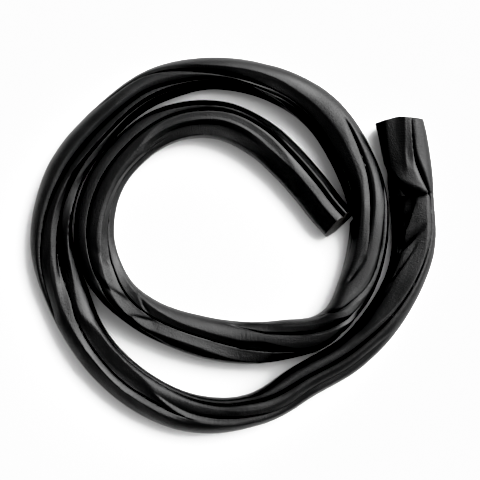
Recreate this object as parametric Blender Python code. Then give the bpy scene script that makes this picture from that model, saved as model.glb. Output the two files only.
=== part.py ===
"""A soft black licorice strip, about 575 mm long, lying coiled on a flat surface in just over two turns."""
import bpy
import numpy as np

MM = 0.001

# The coil's route: how far the strip's middle lies from the coil's centre, at even steps clockwise
# from the outer cut end, seen from above. Lengths are in mm and angles in degrees.
ROUTE_START = 37.5
ROUTE_STEP = 20.0
ROUTE_SWEEP = 745.8
ROUTE_RADII = [
    62.2, 55.4, 53.4, 50.1, 47.4, 45.6, 49.3, 51.8, 52.0, 52.1, 52.4, 55.0, 55.2,
    53.6, 53.5, 52.1, 49.9, 47.7, 44.1, 42.0, 39.6, 38.2, 36.8, 31.8, 29.4, 28.8,
    30.1, 33.8, 38.7, 42.0, 43.1, 42.5, 41.3, 38.2, 33.4, 29.7, 28.6, 30.6, 38.2]
ROUTE_SAMPLES = 8000

# Where the coil's centre lies, so that the middle of its outline is at the origin.
COIL_CENTRE = (0.36, -0.08)

# Width seen from above, as (mm along the strip, width in mm). The strip is a little wider where its
# profile lies flat, and narrow at the kink 380 mm along.
WIDTHS = [
    (0, 14.3), (8, 14.4), (18, 14.0), (27, 13.4), (37, 13.2), (48, 11.7), (62, 11.3), (76, 10.9),
    (90, 10.7), (98, 10.8), (112, 9.8), (124, 11.0), (140, 12.0), (168, 12.1), (183, 13.2),
    (193, 12.9), (206, 11.6), (226, 10.9), (244, 10.4), (262, 10.7), (273, 9.8), (288, 10.0),
    (300, 11.2), (314, 12.4), (324, 12.8), (336, 12.6), (346, 11.7), (358, 11.8), (368, 11.2),
    (378, 9.0), (386, 9.8), (396, 11.7), (408, 12.6), (420, 12.5), (432, 11.3), (446, 10.6),
    (460, 11.4), (472, 11.6), (492, 11.0), (510, 11.4), (535, 12.1), (575, 11.7)]
ROUND_WIDTH = 11.5
HEIGHT_GIVE = 0.5

# How full the upper half stands at its shoulders: 2 is an ellipse, and more is squarer.
SHOULDER = 2.5

# How far the profile has turned, as (mm along, degrees). A crease at profile angle A comes up at
# A plus this turn, counted from straight up towards the outside of the coil.
TURNS = [
    (0, 29), (12, 27), (18, 40), (24, 58), (30, 53), (41, 42), (60, 18), (72, 4), (90, -9),
    (102, -6), (114, -28), (120, -43), (132, -60), (144, -75), (156, -77), (168, -84),
    (180, -96), (192, -112), (204, -137), (216, -158), (228, -169), (246, -178), (258, -177),
    (270, -197), (282, -215), (306, -241), (324, -260), (336, -268), (348, -288), (372, -314),
    (376, -337), (380, -383), (385, -406), (396, -430), (408, -463), (420, -481), (432, -483),
    (444, -497), (456, -523), (468, -540), (495, -550), (516, -537), (534, -528), (552, -536),
    (575, -537)]

# Creases that run with the twist, each as (inner bulge, outer bulge, knots). A knot is (mm along,
# profile angle, depth in mm, degrees to the inner crest, degrees to the outer crest). Between a
# crease and its crest lies a straight facet where the bulge is 0, and a rounded lobe where it is 1.
CREASES = [
    (0.8, 0.9, [(-8, 4, 0.5, 14, 6), (6, 0, 0.5, 14, 6), (14, -6, 1.0, 16, 12),
                (22, 0, 0.9, 12, 10), (33, 5, 0.5, 8, 8), (48, 1, 1.2, 20, 14),
                (72, -3, 1.5, 28, 22), (93, -1, 1.5, 25, 22), (110, -18, 1.4, 15, 26),
                (122, -2, 1.2, 18, 22), (150, 0, 0.8, 20, 20), (176, 0, 0.0, 20, 20)]),
    (0.0, 0.0, [(-8, 350, 0.5, 7, 16), (6, 345, 0.5, 8, 16), (16, 335, 0.0, 8, 12)]),
    (0.0, 0.0, [(8, 240, 0.0, 30, 45), (18, 236, 1.2, 28, 60), (25, 222, 2.0, 24, 70),
                (41, 243, 1.4, 26, 54), (60, 280, 0.0, 20, 30)]),
    (0.7, 0.7, [(62, 40, 0.0, 18, 18), (84, 48, 1.1, 24, 14), (108, 47, 1.1, 22, 14),
                (120, 56, 1.2, 26, 14), (132, 54, 0.9, 24, 14), (152, 51, 0.0, 20, 12)]),
    (0.0, 0.2, [(122, 72, 0.0, 8, 12), (138, 78, 1.1, 24, 15), (146, 84, 1.8, 42, 16),
                (166, 86, 1.9, 44, 17), (178, 91, 0.8, 16, 26), (200, 86, 0.8, 18, 22),
                (225, 86, 0.0, 25, 20)]),
    (0.0, 0.2, [(184, 107, 0.0, 5, 6), (199, 100, 1.2, 14, 25), (217, 111, 1.4, 18, 32),
                (240, 118, 1.3, 24, 28), (300, 122, 1.0, 30, 28), (380, 128, 0.7, 30, 14),
                (403, 126, 1.5, 52, 10), (421, 122, 1.1, 30, 14), (439, 123, 1.3, 30, 45),
                (464, 123, 1.0, 25, 40), (512, 130, 0.0, 20, 20)]),
    (0.0, 0.0, [(130, 168, 0.0, 48, 20), (150, 168, 1.2, 56, 20), (166, 168, 1.2, 56, 18),
                (187, 163, 0.0, 36, 10)]),
    (0.3, 0.7, [(176, 168, 0.0, 38, 10), (193, 160, 0.9, 34, 10), (217, 167, 1.2, 20, 16),
                (240, 173, 1.6, 30, 20), (262, 168, 1.5, 32, 24), (288, 190, 1.3, 20, 14),
                (308, 192, 0.0, 20, 12)]),
    (0.6, 0.3, [(238, 245, 0.0, 6, 6), (264, 223, 1.0, 16, 14), (276, 211, 1.6, 14, 24),
                (288, 206, 1.5, 10, 40), (300, 209, 0.8, 44, 38), (325, 217, 0.8, 44, 44),
                (345, 222, 1.1, 28, 38), (400, 215, 0.8, 24, 24), (440, 196, 0.9, 24, 10),
                (464, 203, 1.0, 28, 8), (488, 212, 1.7, 44, 10), (505, 210, 1.6, 36, 10),
                (524, 200, 1.2, 28, 12), (580, 200, 1.2, 24, 12)]),
    (0.2, 0.0, [(500, 168, 0.0, 6, 16), (516, 176, 0.5, 8, 24), (534, 176, 0.55, 8, 24),
                (558, 174, 0.0, 6, 20)]),
    (0.3, 0.3, [(316, 297, 0.0, 6, 6), (334, 290, 1.0, 22, 12), (346, 289, 0.9, 22, 12),
                (362, 286, 0.0, 20, 10)]),
    (0.4, 0.2, [(333, 342, 0.0, 6, 6), (361, 337, 0.4, 18, 10), (376, 328, 0.7, 14, 14),
                (384, 338, 0.9, 14, 14), (412, 335, 0.0, 20, 20)]),
    (0.3, 0.3, [(364, 12, 0.0, 15, 20), (373, 24, 1.2, 20, 20), (380, 42, 1.5, 26, 18),
                (391, 44, 1.4, 26, 12), (403, 55, 1.1, 30, 11), (416, 53, 0.0, 26, 12)]),
]

# How full the rounded lobes stand: towards 1 they drop steeply beside the crease.
LOBE_FULLNESS = 0.92

# Folds across the strip, as (mm along, angle from straight up, mm along, angle) from start to end,
# then depth in mm at both, and spread in mm at both to the left and to the right of that way.
FOLDS = [
    (23.2, 44, 23.2, -75, 0.5, 2.4, 0.3, 0.5, 0.6, 9.5),
    (24.2, 10, 31.5, -26, 0.6, 1.0, 0.5, 0.8, 2.0, 4.0),
    (33.6, 18, 40.5, -50, 0.6, 1.8, 0.6, 0.8, 1.6, 4.0),
    (450.5, -8, 457.0, 16, 0.6, 0.8, 0.5, 0.5, 1.5, 2.0),
    (464.0, 12, 464.5, -14, 0.9, 0.9, 1.2, 1.2, 2.0, 2.0),
]
FOLD_FADE = 2.0

# The surface it lies on presses the underside flat, and turns that touch keep a hair's breadth.
UNDERSIDE_FLAT = 0.35
TURN_GAP = 0.35

# How the cut ends lean, in mm along for each mm up, and how far the outer one is cut back for each
# mm towards the outside of the coil.
OUTER_END_LEAN = 0.04
OUTER_END_TUCK = 0.22
INNER_END_LEAN = 0.13
END_REACH = 16.0

# Mesh: stations along the strip, closer together over its pinched stretch, and lines round it.
STATIONS = 166
PINCHED = (14.0, 42.0)
PINCHED_CLOSER = 1.8
AROUND = 34

LICORICE_COLOUR = (0.008, 0.008, 0.008, 1.0)
LICORICE_ROUGHNESS = 0.38


def clear_scene():
    for item in list(bpy.data.objects):
        bpy.data.objects.remove(item, do_unlink=True)


def through(knots, values, at):
    """A smooth curve through hand-set values, read at the places asked for."""
    knots, values = np.asarray(knots, float), np.asarray(values, float)
    slopes = np.gradient(values, knots, edge_order=2)
    first = np.clip(np.searchsorted(knots, at, side="right") - 1, 0, len(knots) - 2)
    step = knots[first + 1] - knots[first]
    part = (at - knots[first]) / step
    start = (1 + 2 * part) * (1 - part) ** 2 * values[first]
    start += part * (1 - part) ** 2 * step * slopes[first]
    end = part ** 2 * (3 - 2 * part) * values[first + 1]
    end += part ** 2 * (part - 1) * step * slopes[first + 1]
    return start + end


def read_table(rows, at):
    knots, values = zip(*rows)
    return through(knots, values, np.clip(at, knots[0], knots[-1]))


def ease(part):
    part = np.clip(part, 0, 1)
    return part ** 2 * (3 - 2 * part)


def wrap(angle):
    return (angle + 180) % 360 - 180


def shoulder(angle):
    """Height above the middle as a part of the half height: round below, fuller above."""
    full = (1 - np.abs(np.sin(angle)) ** SHOULDER) ** (1 / SHOULDER)
    return np.where(np.cos(angle) > 0, full, np.cos(angle))


def route_radius(sweep):
    return through(ROUTE_STEP * np.arange(len(ROUTE_RADII)), ROUTE_RADII, sweep)


def station_lengths(total):
    """Lengths along the strip of its stations, closer together over the pinched stretch."""
    along = np.linspace(0, total, 4000)
    start, end = PINCHED
    crowd = 1 + PINCHED_CLOSER * ease((along - start + 6) / 6) * ease((end + 6 - along) / 6)
    counted = np.append(0, np.cumsum((crowd[1:] + crowd[:-1]) / 2))
    return np.interp(np.linspace(0, counted[-1], STATIONS), counted, along)


def route():
    """Length, sweep angle, place and direction of the strip's middle at its stations."""
    sweep = np.linspace(0, ROUTE_SWEEP, ROUTE_SAMPLES)
    angle = np.radians(ROUTE_START - sweep)
    points = route_radius(sweep)[:, None] * np.stack([np.cos(angle), np.sin(angle)], 1)
    length = np.append(0, np.cumsum(np.hypot(*np.diff(points, axis=0).T)))
    along = station_lengths(length[-1])
    place = np.stack([np.interp(along, length, points[:, k]) for k in (0, 1)], 1)
    ahead = np.gradient(place, along, axis=0)
    ahead /= np.hypot(*ahead.T)[:, None]
    return along, np.interp(along, length, sweep), place, ahead


def flank(off, reach, depth, bulge):
    """Radius beside a crease: a straight facet up to its crest, or a round lobe as the bulge nears 1."""
    top, bottom = ROUND_WIDTH / 2, ROUND_WIDTH / 2 - depth
    turned = np.radians(np.minimum(off, reach))
    whole = np.radians(reach)
    facet = bottom * top * np.sin(whole) / (bottom * np.sin(turned) + top * np.sin(whole - turned))
    from_crest = 1 - np.minimum(off / reach, 1)
    drop = 1 - np.sqrt(1 - LOBE_FULLNESS * from_crest ** 2)
    lobe = top - depth * drop / (1 - np.sqrt(1 - LOBE_FULLNESS))
    return facet + bulge * (lobe - facet)


def crease_relief(along, profile):
    """How far the creases lower the surface, in mm, at a length along and a profile angle."""
    relief = np.zeros(np.broadcast(along, profile).shape)
    for inner_bulge, outer_bulge, knots in CREASES:
        where, angles, depths, inners, outers = np.array(knots, float).T
        at = np.clip(along, where[0], where[-1])
        depth = np.maximum(through(where, depths, at), 0) * (at == along)
        off = wrap(profile - through(where, angles, at))
        inner = flank(np.abs(off), np.maximum(through(where, inners, at), 2), depth, inner_bulge)
        outer = flank(np.abs(off), np.maximum(through(where, outers, at), 2), depth, outer_bulge)
        fall = np.where(off < 0, inner, outer) - ROUND_WIDTH / 2
        relief = np.minimum(relief, fall * ease(depth / 0.4))
    return relief


def fold_relief(along, up_angle):
    """How far the folds lower the surface, in mm, at a length along and an angle from straight up."""
    relief = np.zeros(np.broadcast(along, up_angle).shape)
    mm_per_degree = np.pi * ROUND_WIDTH / 360
    for start, angle, end, end_angle, depth, end_depth, left, end_left, right, end_right in FOLDS:
        run = np.array([end - start, (end_angle - angle) * mm_per_degree])
        length = np.hypot(*run)
        run /= length
        ahead, across = along - start, wrap(up_angle - angle) * mm_per_degree
        part = (ahead * run[0] + across * run[1]) / length
        off = across * run[0] - ahead * run[1]
        beyond = np.maximum(np.maximum(-part, part - 1), 0) * length
        part = np.clip(part, 0, 1)
        left_spread = left + (end_left - left) * part
        right_spread = right + (end_right - right) * part
        spread = np.where(off > 0, left_spread, right_spread)
        fall = np.maximum(1 - np.abs(off) / spread, 0) ** 1.2 * np.exp(-(beyond / FOLD_FADE) ** 2)
        relief -= (depth + (end_depth - depth) * part) * fall
    return relief


def profile_lines(along):
    """Profile angles of the mesh's long lines: even steps, drawn onto the creases they pass."""
    step = 360 / AROUND
    lines = np.tile(np.arange(AROUND) * step, (len(along), 1))
    rings = np.arange(len(along))
    for _, _, knots in CREASES:
        where, angles, depths = np.array(knots, float).T[:3]
        at = np.clip(along, where[0], where[-1])
        angle = through(where, angles, at)
        nearest = np.round(angle / step)
        creased = (through(where, depths, at) > 0.05) & (at == along)
        shift = np.where(creased, angle - nearest * step, 0)
        for side, share in ((-1, 0.5), (0, 1.0), (1, 0.5)):
            lines[rings, (nearest.astype(int) + side) % AROUND] += share * shift
    return lines


def keep_turns_apart(points, sweep):
    """Pushes the sides of neighbouring turns back from the wall halfway between them."""
    radius = np.hypot(points[..., 0], points[..., 1])
    own = ROUTE_START - np.degrees(np.arctan2(points[..., 1], points[..., 0]))
    own += 360 * np.round((sweep[:, None] - own) / 360)
    middle = route_radius(np.clip(own, 0, ROUTE_SWEEP))
    for turn, side in ((360, -1), (-360, 1)):
        other = own + turn
        met = (other >= 0) & (other <= ROUTE_SWEEP)
        wall = (middle + route_radius(np.clip(other, 0, ROUTE_SWEEP))) / 2 - side * TURN_GAP / 2
        pushed = np.minimum(side * radius, side * wall) * side
        radius_new = np.where(met, pushed, radius)
        points[..., :2] *= (radius_new / radius)[..., None]
        radius = radius_new


def strip_surface():
    """Rings of points, in mm, from the outer cut end to the inner one."""
    along, sweep, place, ahead = route()
    profile = profile_lines(along)
    length = along[:, None]
    up_angle = profile + read_table(TURNS, length)
    half_width = read_table(WIDTHS, length) / 2
    half_height = ROUND_WIDTH / 2 * (ROUND_WIDTH / 2 / half_width) ** HEIGHT_GIVE
    relief = crease_relief(length, profile) + fold_relief(length, up_angle)
    side = (half_width + relief) * np.sin(np.radians(up_angle))
    height = (half_height + relief) * shoulder(np.radians(up_angle))
    height = np.maximum(height + half_height - UNDERSIDE_FLAT, 0)

    outer = 1 - ease(length / END_REACH)
    inner = 1 - ease((along[-1] - length) / END_REACH)
    shift = outer * (OUTER_END_TUCK * np.maximum(side, 0) - OUTER_END_LEAN * height)
    shift -= inner * INNER_END_LEAN * height
    outward = np.stack([-ahead[:, 1], ahead[:, 0]], 1)
    flat = place[:, None] + side[..., None] * outward[:, None] + shift[..., None] * ahead[:, None]
    points = np.concatenate([flat, height[..., None]], 2)
    keep_turns_apart(points, sweep)
    points[..., :2] += COIL_CENTRE
    return points


def strip_mesh(points):
    """Joins the rings with quads and closes each cut end with a fan about its middle."""
    rings, around = points.shape[:2]
    corners = points.reshape(-1, 3).tolist()
    faces = []
    for ring in range(rings - 1):
        for k in range(around):
            here, there = ring * around, (ring + 1) * around
            after = (k + 1) % around
            faces.append((here + k, there + k, there + after, here + after))
    for ring, order in ((0, 1), (rings - 1, -1)):
        middle = len(corners)
        corners.append(points[ring].mean(axis=0).tolist())
        for k in range(around):
            pair = (ring * around + k, ring * around + (k + 1) % around)[::order]
            faces.append((middle,) + pair)
    mesh = bpy.data.meshes.new("licorice_strip")
    mesh.from_pydata([[MM * value for value in corner] for corner in corners], [], faces)
    mesh.validate()
    return mesh


def licorice_material():
    material = bpy.data.materials.new("black licorice")
    material.use_nodes = True
    shader = material.node_tree.nodes["Principled BSDF"]
    shader.inputs["Base Color"].default_value = LICORICE_COLOUR
    shader.inputs["Roughness"].default_value = LICORICE_ROUGHNESS
    shader.inputs["Metallic"].default_value = 0.0
    return material


def main():
    clear_scene()
    mesh = strip_mesh(strip_surface())
    mesh.materials.append(licorice_material())
    mesh.shade_smooth()
    mesh.set_sharp_from_angle(angle=np.radians(50))
    strip = bpy.data.objects.new("licorice_strip", mesh)
    bpy.context.collection.objects.link(strip)


main()
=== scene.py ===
"""A soft black licorice strip lying in a loose coil on a pale floor, in soft studio light."""

import bpy
import numpy as np
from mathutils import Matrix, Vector, noise

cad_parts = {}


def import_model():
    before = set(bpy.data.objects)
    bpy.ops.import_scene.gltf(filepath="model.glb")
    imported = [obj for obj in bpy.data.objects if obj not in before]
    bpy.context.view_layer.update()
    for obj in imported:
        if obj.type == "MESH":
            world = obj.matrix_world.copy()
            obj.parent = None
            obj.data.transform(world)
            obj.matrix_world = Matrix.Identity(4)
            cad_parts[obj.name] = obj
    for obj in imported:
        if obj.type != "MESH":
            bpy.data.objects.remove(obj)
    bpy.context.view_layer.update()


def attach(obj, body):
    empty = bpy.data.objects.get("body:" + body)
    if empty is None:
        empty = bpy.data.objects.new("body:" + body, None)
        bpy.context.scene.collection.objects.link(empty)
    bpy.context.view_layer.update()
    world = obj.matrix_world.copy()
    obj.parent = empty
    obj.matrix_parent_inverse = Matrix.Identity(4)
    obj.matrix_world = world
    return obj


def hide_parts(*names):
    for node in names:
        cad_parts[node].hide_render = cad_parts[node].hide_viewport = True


MM = 0.001

# Lengths are in mm and angles in degrees. The strip's length along its middle, from the outer cut
# end to the inner one, which the tables below run over.
STRIP_LENGTH = 575

# The coil's route: how far the strip's middle lies from the coil's centre, at even steps clockwise
# from the outer cut end, seen from above, and how many points on it measure its length.
ROUTE_START = 37.5
ROUTE_STEP = 20.0
ROUTE_SWEEP = 745.8
ROUTE_RADII = [
    62.2, 55.4, 53.4, 50.1, 47.4, 45.6, 49.3, 51.8, 52.0, 52.1, 52.4, 55.0, 55.2,
    53.6, 53.5, 52.1, 49.9, 47.7, 44.1, 42.0, 39.6, 38.2, 36.8, 31.8, 29.4, 28.8,
    30.1, 33.8, 38.7, 42.0, 43.1, 42.5, 41.3, 38.2, 33.4, 29.7, 28.6, 30.6, 38.2]
ROUTE_SAMPLES = 8000

# Where the coil's centre lies, so that the middle of its outline is at the origin.
COIL_CENTRE = (0.36, -0.08)

# Width seen from above, as (mm along the strip, width in mm). The strip is a little wider where its
# profile lies flat, and narrow at the kink 380 mm along.
WIDTHS = [
    (0, 14.3), (8, 14.4), (18, 14.0), (27, 13.4), (37, 13.2), (48, 11.7), (62, 11.3), (76, 10.9),
    (90, 10.7), (98, 10.8), (112, 9.8), (124, 11.0), (140, 12.0), (168, 12.1), (183, 13.2),
    (193, 13.2), (206, 12.1), (226, 11.2), (244, 10.4), (262, 10.7), (273, 9.8), (288, 10.0),
    (300, 11.2), (314, 12.4), (324, 12.8), (336, 12.6), (346, 11.7), (358, 11.8), (368, 11.2),
    (378, 9.0), (386, 9.8), (396, 11.7), (408, 12.6), (420, 12.5), (432, 11.3), (446, 10.6),
    (460, 11.8), (472, 11.9), (492, 11.0), (510, 11.4), (535, 12.1), (STRIP_LENGTH, 11.7)]

# At this width the strip is as high as it is wide, and where it is wider it is lower, by this power.
ROUND_WIDTH = 11.5
HEIGHT_GIVE = 0.5

# How full the upper half stands at its shoulders: 2 is an ellipse, and more is squarer.
SHOULDER = 2.5

# How far the profile has turned, as (mm along, degrees). A crease at profile angle A comes up at
# A plus this turn, counted from straight up towards the outside of the coil.
TURNS = [
    (0, 29), (12, 27), (18, 40), (24, 58), (30, 53), (41, 42), (60, 18), (72, 4), (90, -9),
    (102, -6), (114, -28), (120, -43), (132, -60), (144, -75), (156, -77), (168, -84),
    (180, -96), (192, -112), (204, -137), (216, -158), (228, -169), (246, -178), (258, -177),
    (270, -197), (282, -215), (306, -241), (324, -260), (336, -268), (348, -288), (372, -314),
    (376, -337), (380, -383), (385, -406), (396, -430), (408, -463), (420, -481), (432, -483),
    (444, -497), (456, -523), (468, -540), (495, -550), (516, -537), (534, -528), (552, -536),
    (STRIP_LENGTH, -537)]

# Creases that run with the twist, each as (inner bulge, outer bulge, slit, knots). A knot is (mm
# along, profile angle, depth in mm, degrees to its inner crest, degrees to its outer crest). Between
# a crease and its crest lies a straight facet where the bulge is 0 and a rounded lobe where it is 1.
# The slit is how much deeper a narrow cut at its bottom goes, as a share of the depth. A crease
# without one is soft at its bottom. The tables of some creases start or end beyond the cut ends.
CREASES = [
    # From the outer cut end over the notch and round half of the outer turn
    (0.8, 0.9, 0.4, [
        (-8, 4, 0.5, 14, 6), (6, 0, 0.5, 14, 6), (11, -5, 0.7, 12, 9), (14, -6, 1.0, 16, 12),
        (18, -2, 1.2, 20, 12), (22, 0, 0.9, 12, 10), (26, 2, 0.5, 10, 8), (33, 5, 0.3, 8, 8),
        (40, 0, 0.4, 10, 10), (48, 1, 0.5, 14, 12), (60, 1, 0.6, 20, 16), (72, -3, 1.0, 26, 20),
        (93, -1, 1.3, 25, 22), (105, -14, 1.4, 16, 26), (111, -19, 1.2, 14, 24), (120, -3, 0.9, 14, 18),
        (132, -1, 0.7, 16, 18), (150, 0, 0.8, 20, 20), (168, 0, 0.4, 20, 20), (176, 0, 0.0, 20, 20)]),
    # Two facets beside the outer cut end
    (0.0, 0.0, 0.0, [
        (-8, 350, 0.5, 7, 16), (6, 345, 0.5, 8, 16), (11, 337, 0.45, 8, 14), (16, 335, 0.0, 8, 12)]),
    (0.0, 0.0, 0.0, [
        (-8, 281, 0.6, 30, 56), (8, 281, 0.6, 30, 56), (13, 268, 0.4, 30, 54), (18, 252, 0.0, 30, 50)]),
    # The hollow that the notch pinches, and a facet beside it
    (0.0, 0.0, 0.2, [
        (12, 240, 0.0, 30, 36), (16, 238, 0.8, 30, 50), (20, 232, 1.6, 26, 64), (24, 224, 1.6, 24, 90),
        (28, 224, 1.7, 24, 80), (32, 228, 1.8, 24, 68), (36, 235, 1.6, 25, 58), (42, 245, 1.3, 26, 48),
        (50, 260, 0.7, 25, 34), (58, 275, 0.0, 20, 24)]),
    (0.0, 0.3, 0.0, [
        (23, 290, 0.0, 20, 47), (26, 290, 0.9, 12, 47), (30, 289, 1.0, 12, 48), (36, 287, 1.0, 14, 53),
        (44, 286, 0.9, 20, 60), (54, 294, 0.9, 22, 52), (64, 290, 0.7, 20, 46), (74, 288, 0.0, 20, 40)]),
    # Along the outer turn, the last one into the inner turn
    (0.7, 0.7, 0.0, [
        (62, 40, 0.0, 18, 18), (72, 40, 0.6, 20, 14), (84, 48, 0.8, 24, 14), (99, 49, 0.8, 24, 14),
        (108, 47, 0.9, 22, 14), (114, 51, 1.3, 24, 16), (120, 56, 1.2, 26, 14), (132, 54, 0.9, 24, 14),
        (140, 52, 0.6, 20, 12), (152, 51, 0.0, 20, 12)]),
    (0.0, 0.2, 0.3, [
        (122, 72, 0.0, 8, 12), (132, 74, 0.5, 8, 14), (138, 78, 1.1, 24, 15), (146, 84, 1.6, 48, 15),
        (163, 85, 1.7, 52, 15), (169, 88, 1.4, 46, 18), (175, 92, 0.9, 20, 22), (181, 90, 0.7, 14, 28),
        (186, 91, 1.4, 22, 26), (191, 93, 2.2, 25, 20), (197, 98, 2.6, 26, 14), (204, 105, 2.7, 26, 12),
        (212, 109, 2.2, 26, 14), (221, 112, 1.2, 24, 20), (232, 115, 0.0, 24, 20)]),
    (0.0, 0.0, 0.0, [
        (130, 126, 0.0, 18, 18), (142, 126, 0.34, 18, 18), (166, 128, 0.34, 18, 18),
        (182, 130, 0.0, 18, 18)]),
    (0.3, 0.7, 0.4, [
        (176, 168, 0.0, 38, 10), (182, 166, 0.7, 38, 10), (187, 163, 0.8, 36, 10), (193, 160, 0.7, 34, 10),
        (199, 160, 0.7, 32, 12), (205, 164, 0.8, 28, 12), (211, 166, 0.9, 22, 14), (217, 167, 1.1, 20, 16),
        (226, 168, 1.6, 26, 18), (240, 173, 1.6, 30, 20), (252, 171, 1.6, 32, 22), (262, 168, 1.5, 32, 24),
        (276, 178, 1.5, 28, 26), (288, 190, 1.3, 20, 14), (300, 192, 0.8, 20, 12), (308, 192, 0.0, 20, 12)]),
    (0.0, 0.2, 0.4, [
        (184, 107, 0.0, 5, 6), (190, 103, 0.6, 8, 12), (199, 100, 1.2, 14, 25), (205, 105, 1.4, 16, 30),
        (217, 111, 1.4, 18, 32), (236, 116, 1.4, 22, 30), (246, 108, 2.0, 22, 48), (256, 103, 2.4, 24, 56),
        (264, 112, 2.4, 24, 58), (272, 124, 2.4, 24, 58), (282, 140, 2.2, 24, 54), (291, 150, 1.8, 24, 46),
        (300, 158, 1.0, 24, 38), (310, 166, 0.0, 24, 30)]),
    (0.6, 0.3, 0.4, [
        (238, 245, 0.0, 6, 6), (246, 238, 0.4, 8, 8), (255, 230, 0.6, 8, 9), (264, 223, 1.0, 16, 14),
        (270, 219, 1.4, 20, 18), (276, 211, 1.6, 14, 24), (282, 206, 1.6, 11, 32), (288, 206, 1.5, 10, 40),
        (294, 207, 1.0, 14, 42), (298, 208, 0.0, 30, 40)]),
    (0.0, 0.3, 0.2, [
        (290, 206, 0.0, 20, 40), (296, 208, 0.8, 30, 42), (300, 209, 0.8, 44, 38), (312, 212, 0.7, 46, 38),
        (325, 217, 0.8, 44, 44), (335, 220, 1.0, 34, 40), (345, 222, 1.0, 28, 34), (352, 222, 0.8, 28, 34),
        (370, 220, 0.0, 24, 24)]),
    # Towards the kink and over it
    (0.3, 0.3, 0.4, [
        (316, 297, 0.0, 6, 6), (325, 297, 0.8, 26, 6), (334, 290, 0.8, 18, 12), (340, 287, 0.9, 20, 13),
        (346, 289, 0.7, 20, 12), (353, 291, 0.3, 18, 10), (362, 286, 0.0, 20, 10)]),
    (0.4, 0.2, 0.3, [
        (333, 342, 0.0, 6, 6), (341, 342, 0.3, 8, 6), (349, 345, 0.5, 14, 8), (361, 337, 0.4, 18, 10),
        (368, 329, 0.3, 18, 16), (376, 328, 0.4, 14, 14), (380, 337, 0.3, 14, 14), (390, 336, 0.0, 14, 14)]),
    (0.3, 0.3, 0.5, [
        (364, 12, 0.0, 15, 20), (369, 16, 0.8, 16, 20), (373, 24, 1.2, 20, 20), (376, 34, 1.4, 22, 18),
        (379, 43, 1.4, 24, 18), (385, 41, 1.3, 24, 17), (391, 44, 1.2, 24, 12), (397, 49, 1.0, 24, 11),
        (403, 55, 1.1, 30, 11), (409, 54, 0.7, 28, 12), (416, 53, 0.0, 26, 12)]),
    # Along the inner turn
    (0.0, 0.0, 0.4, [
        (366, 126, 0.0, 30, 14), (380, 128, 0.7, 30, 14), (392, 130, 1.1, 30, 24), (398, 128, 1.4, 36, 32),
        (403, 126, 1.6, 38, 38), (409, 125, 1.4, 26, 42), (416, 123, 1.1, 20, 36), (424, 122, 0.9, 20, 30),
        (433, 120, 1.1, 24, 36), (439, 123, 1.3, 30, 45), (451, 124, 1.2, 28, 45), (464, 123, 1.0, 25, 40),
        (480, 126, 0.9, 25, 30), (500, 130, 0.6, 20, 20), (512, 130, 0.0, 20, 20)]),
    (0.6, 0.3, 0.4, [
        (430, 198, 0.0, 24, 10), (440, 196, 0.9, 24, 10), (450, 197, 0.8, 24, 20), (458, 200, 0.9, 22, 30),
        (463, 203, 1.1, 33, 36), (468, 207, 1.3, 34, 38), (474, 211, 1.5, 40, 40), (488, 212, 1.6, 44, 42),
        (496, 213, 1.6, 42, 42), (505, 210, 1.5, 36, 36), (516, 206, 1.2, 34, 18), (524, 203, 1.1, 30, 9),
        (534, 204, 1.0, 30, 8), (552, 204, 1.0, 28, 8), (580, 204, 1.0, 28, 8)]),
    # Beside the inner end
    (0.2, 0.0, 0.0, [
        (500, 168, 0.0, 6, 16), (510, 176, 0.6, 8, 22), (534, 176, 0.7, 8, 24), (548, 174, 0.5, 8, 22),
        (558, 174, 0.0, 6, 20)]),
    (0.0, 0.3, 0.0, [
        (500, 146, 0.0, 20, 20), (508, 146, 1.2, 24, 22), (530, 146, 1.3, 24, 22), (540, 146, 0.8, 24, 22),
        (552, 146, 0.0, 20, 20)]),
    (0.0, 0.0, 0.0, [
        (506, 262, 0.0, 40, 20), (520, 257, 0.4, 38, 20), (534, 250, 0.4, 37, 20), (552, 258, 0.4, 37, 20),
        (580, 259, 0.4, 37, 20)]),
    (0.0, 0.0, 0.0, [
        (538, 99, 0.0, 20, 66), (552, 99, 0.35, 20, 66), (580, 99, 0.35, 20, 66)]),
]

# How full the rounded lobes stand: towards 1 they drop steeply beside the crease. How many degrees
# to each side a slit reaches, and over how many a crease without one is softened. A crest lies at
# least this many degrees off, and a crease fades out where it is shallower than the fading depth.
LOBE_FULLNESS = 0.88
SLIT_REACH = 3.0
SOFT_REACH = 8.0
LEAST_CREST = 2
FADING_DEPTH = 0.4

# Folds across the strip, as (mm along, angle from straight up, mm along, angle) from start to end,
# then depth in mm at both, and spread in mm at both to the left and to the right of that way.
FOLDS = [
    (23.2, 44, 23.2, -75, 0.5, 4.2, 0.3, 0.5, 0.6, 8.5),
    (24.2, 10, 31.5, -26, 0.6, 1.0, 0.5, 0.8, 2.0, 4.0),
    (33.6, 18, 40.5, -50, 0.6, 1.8, 0.6, 0.8, 1.6, 4.0),
    (39.0, 0, 48.5, -45, 0.3, 0.8, 0.6, 0.8, 1.0, 2.0),
    (361.0, -8, 366.0, -26, 0.7, 0.7, 1.0, 1.0, 1.3, 1.3),
    (376.0, 4, 381.0, -62, 0.1, 0.25, 0.6, 0.8, 1.2, 1.6),
    (438.0, 10, 442.5, 32, 0.5, 0.7, 2.5, 2.5, 1.3, 1.3),
    (450.0, 2, 456.5, 26, 0.6, 0.9, 3.0, 3.0, 1.4, 1.6),
    (441.5, -24, 445.0, -48, 0.4, 0.4, 0.5, 0.5, 0.8, 0.8),
    (465.5, 4, 461.0, -32, 0.2, 0.65, 3.5, 3.5, 2.0, 2.5),
]

# How many mm beyond its ends a fold fades over, and the power of its walls: more is sharper.
FOLD_FADE = 2.0
FOLD_SHARPNESS = 1.2

# The surface it lies on presses the underside flat, and turns that touch keep a hair's breadth.
UNDERSIDE_FLAT = 0.35
TURN_GAP = 0.1

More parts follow.
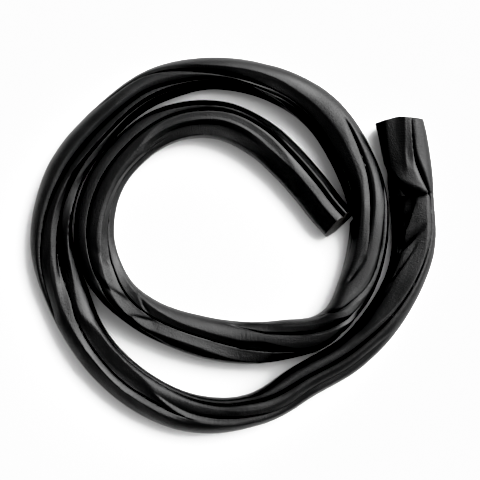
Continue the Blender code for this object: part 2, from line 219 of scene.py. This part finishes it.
# How the cut ends lean, fading out over the reach. The outer end's top stands out by so much for
# each mm up, and its outer half is cut back by so much for each mm towards the outside of the coil.
# The inner end's foot stands out, and its face leans back from there by so much for each mm up.
OUTER_END_LEAN = 0.09
OUTER_END_TUCK = 0.34
INNER_END_OUT = 0.9
INNER_END_LEAN = 0.20
END_REACH = 16.0

# Mesh: stations along the strip, and the stretches where they lie closer together, as (from mm, to
# mm, how much closer), eased in and out over some mm. The samples are for spreading them.
STATIONS = 600
CLOSER = [(0, 40, 1.6), (370, 392, 1.6), (405, 470, 0.8), (560, STRIP_LENGTH, 1.0)]
CLOSER_EASE = 6
CLOSER_SAMPLES = 4000

# How many lines run along the strip, counted round it. The nearest one is drawn onto each crease
# deeper than the lined depth, and its neighbours go with it by a share. Edges sharper than the angle
# aren't shaded smooth.
AROUND = 160
LINED_DEPTH = 0.05
NEIGHBOUR_SHARE = 0.5
SHARP_ANGLE = 42

# Cut faces: their rings as shares of the strip's last ring, how far the flat stands out past the
# rim, and the power of the rounding between them. The flat is uneven by noise of this height, with
# so many spots for each mm, read from this start. An end's direction is read over some stations.
CUT_RINGS = [0.97, 0.9, 0.7, 0.35]
CUT_ROUNDING = 0.25
CUT_RIM_POWER = 8
CUT_UNEVENNESS = 0.12
CUT_UNEVEN_SPOTS = 0.9
CUT_UNEVEN_START = 40
STATIONS_BACK = 4

# Unevenness of the soft surface: (size in mm, height in mm)
LUMPS = [(9.0, 0.10), (3.2, 0.035)]

# Skin: its patches, pits and marks are noise, with so many spots for each mm along, up and across
# the straightened strip. Roughness and the strength of the pits go from their first value to their
# second over a range of the patches' noise.
SKIN_COLOUR = (0.0012, 0.0012, 0.0013, 1.0)
SKIN_SHEEN = 0.5
PATCHES = (0.06, 0.22, 0.22)
ROUGHNESS_RANGE = (0.35, 0.65)
SKIN_ROUGHNESS = (0.34, 0.46)
PITS = (3.2, 3.2, 3.2)
PIT_RANGE = (0.40, 0.60)
PIT_STRENGTH = (0.35, 1.0)
PIT_DEPTH = 0.14
MARKS = (2.6, 0.5, 0.5)
MARK_DEPTH = 0.12
MARK_STRENGTH = 0.45

# Cut face: its roughness goes from the first value to the second over a range of its grain's noise.
CUT_COLOUR = (0.040, 0.038, 0.037, 1.0)
CUT_GRAIN = (1.6, 1.6, 1.6)
CUT_GRAIN_RANGE = (0.3, 0.7)
CUT_ROUGHNESS = (0.40, 0.55)
CUT_GRAIN_DEPTH = 0.2
CUT_GRAIN_STRENGTH = 0.6

# The floor lies a hair below the strip, so that their faces don't meet.
FLOOR_COLOUR = (0.66, 0.66, 0.66, 1.0)
FLOOR_ROUGHNESS = 0.7
FLOOR_SHEEN = 0.2
FLOOR_HALF_WIDTH = 3000.0
FLOOR_DROP = 0.05

# The light, as (direction, low, high, strength at low, strength at high), where low and high are
# cosines of the angle to that direction. The dome is a little brighter on the panel's side.
DOME = ((0.788, 0.616, 0.0), -0.60, 0.25, 0.56, 0.80)
PANEL = ((0.645, 0.504, 0.574), 0.70, 0.95, 0.0, 6.3)

# The camera looks straight down on the place that it aims at, and sees this width there.
AIM = (2.01, 1.63, 6.0)
CAMERA_HEIGHT = 900.0
SEEN_WIDTH = 144.0
SENSOR = 36.0

# What is shown as black, and then how bright each brightness is shown, for the photo's deep blacks
# and soft grey sheen.
BLACK_LEVEL = 0.0245
TONES = [(0.016, 0.0105), (0.04, 0.037), (0.08, 0.087), (0.17, 0.192), (0.34, 0.48), (0.55, 0.92)]

# The Map Range node's sockets, in the order in which ranges are given here.
RANGE_SOCKETS = ("From Min", "From Max", "To Min", "To Max")


def through(knots, values, at):
    """A smooth curve through given values, read at the places asked for."""
    knots, values = np.asarray(knots, float), np.asarray(values, float)
    slopes = np.gradient(values, knots, edge_order=2)
    first = np.clip(np.searchsorted(knots, at, side="right") - 1, 0, len(knots) - 2)
    step = knots[first + 1] - knots[first]
    part = (at - knots[first]) / step
    start = (1 + 2 * part) * (1 - part) ** 2 * values[first]
    start += part * (1 - part) ** 2 * step * slopes[first]
    end = part ** 2 * (3 - 2 * part) * values[first + 1]
    end += part ** 2 * (part - 1) * step * slopes[first + 1]
    return start + end


def read_table(rows, at):
    knots, values = zip(*rows)
    return through(knots, values, np.clip(at, knots[0], knots[-1]))


def ease(part):
    part = np.clip(part, 0, 1)
    return part ** 2 * (3 - 2 * part)


def wrap(angle):
    return (angle + 180) % 360 - 180


def shoulder(angle):
    """Height above the middle, as a part of the half height: round below, fuller above."""
    full = (1 - np.abs(np.sin(angle)) ** SHOULDER) ** (1 / SHOULDER)
    return np.where(np.cos(angle) > 0, full, np.cos(angle))


def route_radius(sweep):
    return through(ROUTE_STEP * np.arange(len(ROUTE_RADII)), ROUTE_RADII, sweep)


def station_parts():
    """Where the stations lie, as parts of the strip's length."""
    along = np.linspace(0, STRIP_LENGTH, CLOSER_SAMPLES)
    crowd = np.ones(len(along))
    for start, end, extra in CLOSER:
        begun, left = (along - start) / CLOSER_EASE, (end - along) / CLOSER_EASE
        crowd += extra * ease(begun + 1) * ease(left + 1)
    total = np.append(0, np.cumsum((crowd[1:] + crowd[:-1]) / 2))
    return np.interp(np.linspace(0, total[-1], STATIONS), total, along / along[-1])


def route(parts):
    """Length, sweep angle, place and direction of the strip's middle at parts of its length."""
    sweep = np.linspace(0, ROUTE_SWEEP, ROUTE_SAMPLES)
    angle = np.radians(ROUTE_START - sweep)
    points = route_radius(sweep)[:, None] * np.stack([np.cos(angle), np.sin(angle)], 1)
    length = np.append(0, np.cumsum(np.hypot(*np.diff(points, axis=0).T)))
    along = parts * length[-1]
    place = np.stack([np.interp(along, length, points[:, k]) for k in (0, 1)], 1)
    ahead = np.gradient(place, along, axis=0)
    ahead /= np.hypot(*ahead.T)[:, None]
    return along, np.interp(along, length, sweep), place, ahead


def profile_lines(along):
    """Profile angles of the mesh's long lines at each station: even steps, drawn onto the creases."""
    step = 360 / AROUND
    lines = np.tile(np.arange(AROUND) * step, (len(along), 1))
    for *_, knots in CREASES:
        where, angles, depths = np.array(knots, float).T[:3]
        at = np.clip(along, where[0], where[-1])
        angle = through(where, angles, at)
        nearest = np.round(angle / step)
        lined = (through(where, depths, at) > LINED_DEPTH) & (at == along)
        shift = np.where(lined, angle - nearest * step, 0)
        for side, share in ((-1, NEIGHBOUR_SHARE), (0, 1.0), (1, NEIGHBOUR_SHARE)):
            lines[np.arange(len(along)), (nearest.astype(int) + side) % AROUND] += share * shift
    return lines


def flank(off, reach, depth, bulge):
    """Radius on one side of a crease, from a straight facet at bulge 0 to a round lobe at bulge 1."""
    top, bottom = ROUND_WIDTH / 2, ROUND_WIDTH / 2 - depth
    turned = np.radians(np.minimum(off, reach))
    facet = bottom * top * np.sin(np.radians(reach))
    facet = facet / (bottom * np.sin(turned) + top * np.sin(np.radians(reach) - turned))
    from_crest = 1 - np.minimum(off / reach, 1)
    drop = (1 - np.sqrt(1 - LOBE_FULLNESS * from_crest ** 2)) / (1 - np.sqrt(1 - LOBE_FULLNESS))
    lobe = top - depth * drop
    return facet + bulge * (lobe - facet)


def crease_relief(along, profile):
    """How far the creases lower the surface, in mm, at a length along and a profile angle."""
    relief = np.zeros(np.broadcast(along, profile).shape)
    slits = np.zeros(relief.shape)
    for inner_bulge, outer_bulge, slit, knots in CREASES:
        where, angles, depths, inners, outers = np.array(knots, float).T
        at = np.clip(along, where[0], where[-1])
        depth = np.maximum(through(where, depths, at), 0) * (at == along)
        off = wrap(profile - through(where, angles, at))
        away = np.hypot(off, SOFT_REACH) - SOFT_REACH if slit == 0 else np.abs(off)
        inner = flank(away, np.maximum(through(where, inners, at), LEAST_CREST), depth, inner_bulge)
        outer = flank(away, np.maximum(through(where, outers, at), LEAST_CREST), depth, outer_bulge)
        fall = np.where(off < 0, inner, outer) - ROUND_WIDTH / 2
        relief = np.minimum(relief, fall * ease(depth / FADING_DEPTH))
        slits = np.minimum(slits, slit * depth * np.minimum(np.abs(off) / SLIT_REACH - 1, 0))
    return relief + slits


def fold_relief(along, up_angle):
    """How far the folds lower the surface, in mm, at a length along and an angle from straight up."""
    relief = np.zeros(np.broadcast(along, up_angle).shape)
    mm_per_degree = np.pi * ROUND_WIDTH / 360
    for start, angle, end, end_angle, depth, end_depth, left, end_left, right, end_right in FOLDS:
        run = np.array([end - start, (end_angle - angle) * mm_per_degree])
        length = np.hypot(*run)
        run /= length
        ahead, across = along - start, wrap(up_angle - angle) * mm_per_degree
        part = (ahead * run[0] + across * run[1]) / length
        off = across * run[0] - ahead * run[1]
        beyond = np.maximum(np.maximum(-part, part - 1), 0) * length
        part = np.clip(part, 0, 1)
        spread = np.where(off > 0, left + (end_left - left) * part, right + (end_right - right) * part)
        wall = np.maximum(1 - np.abs(off) / spread, 0) ** FOLD_SHARPNESS
        fall = wall * np.exp(-(beyond / FOLD_FADE) ** 2)
        relief -= (depth + (end_depth - depth) * part) * fall
    return relief


def lump_relief(straight):
    """Slow unevenness of the surface, in mm, from smooth noise in the straightened strip."""
    relief = np.zeros(straight.shape[:2])
    flat = straight.reshape(-1, 3)
    for size, height in LUMPS:
        values = [noise.noise(Vector(place)) for place in (flat / size).tolist()]
        relief += height * np.array(values).reshape(relief.shape)
    return relief


def keep_turns_apart(points, sweep):
    """Pushes the sides of neighbouring turns back from the wall halfway between them."""
    radius = np.hypot(points[..., 0], points[..., 1])
    own = ROUTE_START - np.degrees(np.arctan2(points[..., 1], points[..., 0]))
    own += 360 * np.round((sweep[:, None] - own) / 360)
    middle = route_radius(np.clip(own, 0, ROUTE_SWEEP))
    for turn, side in ((360, -1), (-360, 1)):
        other = own + turn
        met = (other >= 0) & (other <= ROUTE_SWEEP)
        wall = (middle + route_radius(np.clip(other, 0, ROUTE_SWEEP))) / 2 - side * TURN_GAP / 2
        pushed = np.minimum(side * radius, side * wall) * side
        radius_new = np.where(met, pushed, radius)
        points[..., :2] *= (radius_new / radius)[..., None]
        radius = radius_new


def strip_surface():
    """Rings of points in mm from the outer cut end to the inner one, and the same points straightened."""
    along, sweep, place, ahead = route(station_parts())
    profile = profile_lines(along)
    length = along[:, None]
    up_angle = profile + read_table(TURNS, length)
    turned = np.radians(profile)
    radius = ROUND_WIDTH / 2
    straight = np.stack(np.broadcast_arrays(length, radius * np.cos(turned), radius * np.sin(turned)), 2)

    half_width = read_table(WIDTHS, length) / 2
    half_height = radius * (radius / half_width) ** HEIGHT_GIVE
    relief = crease_relief(length, profile)
    relief += fold_relief(length, up_angle) + lump_relief(straight)
    side = (half_width + relief) * np.sin(np.radians(up_angle))
    height = (half_height + relief) * shoulder(np.radians(up_angle))
    height = np.maximum(height + half_height - UNDERSIDE_FLAT, 0)

    outer = 1 - ease(length / END_REACH)
    inner = 1 - ease((along[-1] - length) / END_REACH)
    shift = outer * (OUTER_END_TUCK * np.maximum(side, 0) - OUTER_END_LEAN * height)
    shift += inner * (INNER_END_OUT - INNER_END_LEAN * height)
    outward = np.stack([-ahead[:, 1], ahead[:, 0]], 1)
    flat = place[:, None] + side[..., None] * outward[:, None] + shift[..., None] * ahead[:, None]
    points = np.concatenate([flat, height[..., None]], 2)
    keep_turns_apart(points, sweep)
    points[..., :2] += COIL_CENTRE
    return points, straight


def way_out(end, inner):
    """The level direction out of a cut end, from a ring further in to its last ring."""
    way = (end.mean(axis=0) - inner.mean(axis=0))[:2]
    return way / np.hypot(*way)


def cut_rings(ring, straight, out):
    """Rings of a cut face inside the strip's last ring: a soft rim, then a slightly uneven flat."""
    middle, straight_middle = ring.mean(axis=0), straight.mean(axis=0)
    rings = []
    for share in CUT_RINGS:
        face = middle + (ring - middle) * share
        place = straight_middle + (straight - straight_middle) * share
        spots = place * CUT_UNEVEN_SPOTS + CUT_UNEVEN_START
        uneven = [noise.noise(Vector(spot)) for spot in spots.tolist()]
        lift = CUT_ROUNDING * (1 - share ** CUT_RIM_POWER) + CUT_UNEVENNESS * np.array(uneven)
        face[:, :2] += out[None, :] * lift[:, None]
        face[:, 2] = np.maximum(face[:, 2], 0)
        rings.append((face, place))
    return rings


def with_middles(rings):
    """The points of all rings, and after them the middles of the first and the last ring."""
    return np.concatenate(rings + [rings[0].mean(axis=0)[None], rings[-1].mean(axis=0)[None]])


def strip_faces(rings):
    """Faces between neighbouring rings, then a fan over each end round its middle point."""
    faces = []
    for ring in range(rings - 1):
        here, there = ring * AROUND, (ring + 1) * AROUND
        for k in range(AROUND):
            after = (k + 1) % AROUND
            faces.append((here + k, there + k, there + after, here + after))
    for end, (ring, order) in enumerate(((0, 1), (rings - 1, -1))):
        start, middle = ring * AROUND, rings * AROUND + end
        for k in range(AROUND):
            pair = (start + k, start + (k + 1) % AROUND)[::order]
            faces.append((middle,) + pair)
    return faces


def strip_mesh():
    """The whole strip as one closed mesh, with the straightened places kept as a point attribute."""
    points, straight = strip_surface()
    first = cut_rings(points[0], straight[0], way_out(points[0], points[STATIONS_BACK]))
    last = cut_rings(points[-1], straight[-1], way_out(points[-1], points[-1 - STATIONS_BACK]))
    rings = first[::-1] + list(zip(points, straight)) + last
    corners = with_middles([ring for ring, _ in rings])
    places = with_middles([place for _, place in rings])
    faces = strip_faces(len(rings))

    mesh = bpy.data.meshes.new("licorice_coil")
    mesh.from_pydata((corners * MM).tolist(), [], faces)
    kept = mesh.attributes.new("straight", "FLOAT_VECTOR", "POINT")
    kept.data.foreach_set("vector", places.astype(np.float32).ravel())
    cut_faces = len(CUT_RINGS) * AROUND
    cut = np.zeros(len(faces), np.int32)
    cut[:cut_faces] = 1
    cut[-2 * AROUND - cut_faces:] = 1
    mesh.materials.append(skin_material())
    mesh.materials.append(cut_material())
    mesh.polygons.foreach_set("material_index", cut)
    mesh.validate()
    mesh.shade_smooth()
    mesh.set_sharp_from_angle(angle=np.radians(SHARP_ANGLE))
    return mesh


class Nodes:
    """Short ways to add shader nodes and link them."""

    def __init__(self, name):
        self.material = bpy.data.materials.new(name)
        self.material.use_nodes = True
        self.tree = self.material.node_tree
        self.shader = self.tree.nodes["Principled BSDF"]

    def add(self, kind, **inputs):
        node = self.tree.nodes.new(kind)
        for name, value in inputs.items():
            self.put(node.inputs[name.replace("_", " ")], value)
        return node

    def put(self, socket, value):
        if isinstance(value, bpy.types.NodeSocket):
            self.tree.links.new(value, socket)
        else:
            socket.default_value = value

    def strip_place(self, spots):
        """The straightened place on the strip, times the spots for each mm along, up and across."""
        read = self.add("ShaderNodeAttribute")
        read.attribute_name = "straight"
        scaled = self.add("ShaderNodeVectorMath")
        scaled.operation = "MULTIPLY"
        self.put(scaled.inputs[0], read.outputs["Vector"])
        self.put(scaled.inputs[1], spots)
        return scaled.outputs["Vector"]

    def noise(self, spots, detail=2.0, roughness=0.5):
        node = self.add("ShaderNodeTexNoise", Vector=self.strip_place(spots), Scale=1.0,
                        Detail=detail, Roughness=roughness)
        return node.outputs["Fac"]

    def between(self, value, seen, given):
        """A value that runs over the seen range, turned into one over the given range."""
        node = self.add("ShaderNodeMapRange", Value=value)
        for name, number in zip(RANGE_SOCKETS, seen + given):
            node.inputs[name].default_value = number
        return node.outputs["Result"]

    def product(self, first, second):
        node = self.add("ShaderNodeMath")
        node.operation = "MULTIPLY"
        self.put(node.inputs[0], first)
        self.put(node.inputs[1], second)
        return node.outputs["Value"]

    def bump(self, height, depth, strength=1.0, under=None):
        node = self.add("ShaderNodeBump", Height=height, Distance=depth * MM, Strength=strength)
        if under is not None:
            self.put(node.inputs["Normal"], under)
        return node.outputs["Normal"]


def skin_material():
    """Near-black skin: patches of smooth sheen and of fine pits, and fine marks across the strip."""
    make = Nodes("licorice skin")
    patches = make.noise(PATCHES, detail=3.0)
    grain = make.noise(PITS, detail=2.0, roughness=0.6)
    marks = make.noise(MARKS, detail=1.0)
    make.put(make.shader.inputs["Roughness"], make.between(patches, ROUGHNESS_RANGE, SKIN_ROUGHNESS))
    pits = make.product(grain, make.between(patches, PIT_RANGE, PIT_STRENGTH))
    normal = make.bump(pits, PIT_DEPTH)
    normal = make.bump(marks, MARK_DEPTH, MARK_STRENGTH, under=normal)
    make.put(make.shader.inputs["Normal"], normal)
    make.put(make.shader.inputs["Base Color"], SKIN_COLOUR)
    make.put(make.shader.inputs["Specular IOR Level"], SKIN_SHEEN)
    return make.material


def cut_material():
    """The freshly cut face: a little greyer and rougher than the skin."""
    make = Nodes("licorice cut")
    grain = make.noise(CUT_GRAIN, detail=3.0, roughness=0.6)
    make.put(make.shader.inputs["Roughness"], make.between(grain, CUT_GRAIN_RANGE, CUT_ROUGHNESS))
    make.put(make.shader.inputs["Normal"], make.bump(grain, CUT_GRAIN_DEPTH, CUT_GRAIN_STRENGTH))
    make.put(make.shader.inputs["Base Color"], CUT_COLOUR)
    return make.material


def floor_material():
    make = Nodes("pale floor")
    make.put(make.shader.inputs["Base Color"], FLOOR_COLOUR)
    make.put(make.shader.inputs["Roughness"], FLOOR_ROUGHNESS)
    make.put(make.shader.inputs["Specular IOR Level"], FLOOR_SHEEN)
    return make.material


def make_strip():
    strip = bpy.data.objects.new("licorice_coil", strip_mesh())
    bpy.context.collection.objects.link(strip)
    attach(strip, "root")
    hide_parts("licorice_strip")


def make_floor():
    half = FLOOR_HALF_WIDTH * MM
    corners = [(-half, -half, 0), (half, -half, 0), (half, half, 0), (-half, half, 0)]
    mesh = bpy.data.meshes.new("floor")
    mesh.from_pydata(corners, [], [(0, 1, 2, 3)])
    mesh.materials.append(floor_material())
    floor = bpy.data.objects.new("floor", mesh)
    floor.location.z = -FLOOR_DROP * MM
    bpy.context.collection.objects.link(floor)


def make_light():
    """A studio: a soft white dome all round, and a broad bright panel 35 degrees up on one side."""
    world = bpy.data.worlds.new("studio")
    world.use_nodes = True
    nodes, link = world.node_tree.nodes, world.node_tree.links.new
    way = nodes.new("ShaderNodeTexCoord")
    both = nodes.new("ShaderNodeMath")
    for socket, (direction, low, high, first, last) in zip(both.inputs, (DOME, PANEL)):
        towards = nodes.new("ShaderNodeVectorMath")
        towards.operation = "DOT_PRODUCT"
        towards.inputs[1].default_value = direction
        link(way.outputs["Generated"], towards.inputs[0])
        part = nodes.new("ShaderNodeMapRange")
        part.interpolation_type = "SMOOTHSTEP"
        for name, number in zip(RANGE_SOCKETS, (low, high, first, last)):
            part.inputs[name].default_value = number
        link(towards.outputs["Value"], part.inputs["Value"])
        link(part.outputs["Result"], socket)
    link(both.outputs["Value"], nodes["Background"].inputs["Strength"])
    nodes["Background"].inputs["Color"].default_value = (1, 1, 1, 1)
    bpy.context.scene.world = world


def make_camera():
    camera = bpy.data.cameras.new("camera")
    camera.sensor_width = SENSOR
    camera.lens = SENSOR * (CAMERA_HEIGHT - AIM[2]) / SEEN_WIDTH
    item = bpy.data.objects.new("camera", camera)
    item.location = (AIM[0] * MM, AIM[1] * MM, CAMERA_HEIGHT * MM)
    bpy.context.collection.objects.link(item)
    bpy.context.scene.camera = item


def set_tones():
    """Shows brightness by the tones' curve: the last of the four curves is for all channels."""
    settings = bpy.context.scene.view_settings
    settings.view_transform = "Standard"
    settings.use_curve_mapping = True
    settings.curve_mapping.black_level = (BLACK_LEVEL,) * 3
    for brightness, shown in TONES:
        settings.curve_mapping.curves[-1].points.new(brightness, shown)
    settings.curve_mapping.update()


def main():
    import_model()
    make_strip()
    make_floor()
    make_light()
    make_camera()
    set_tones()


main()
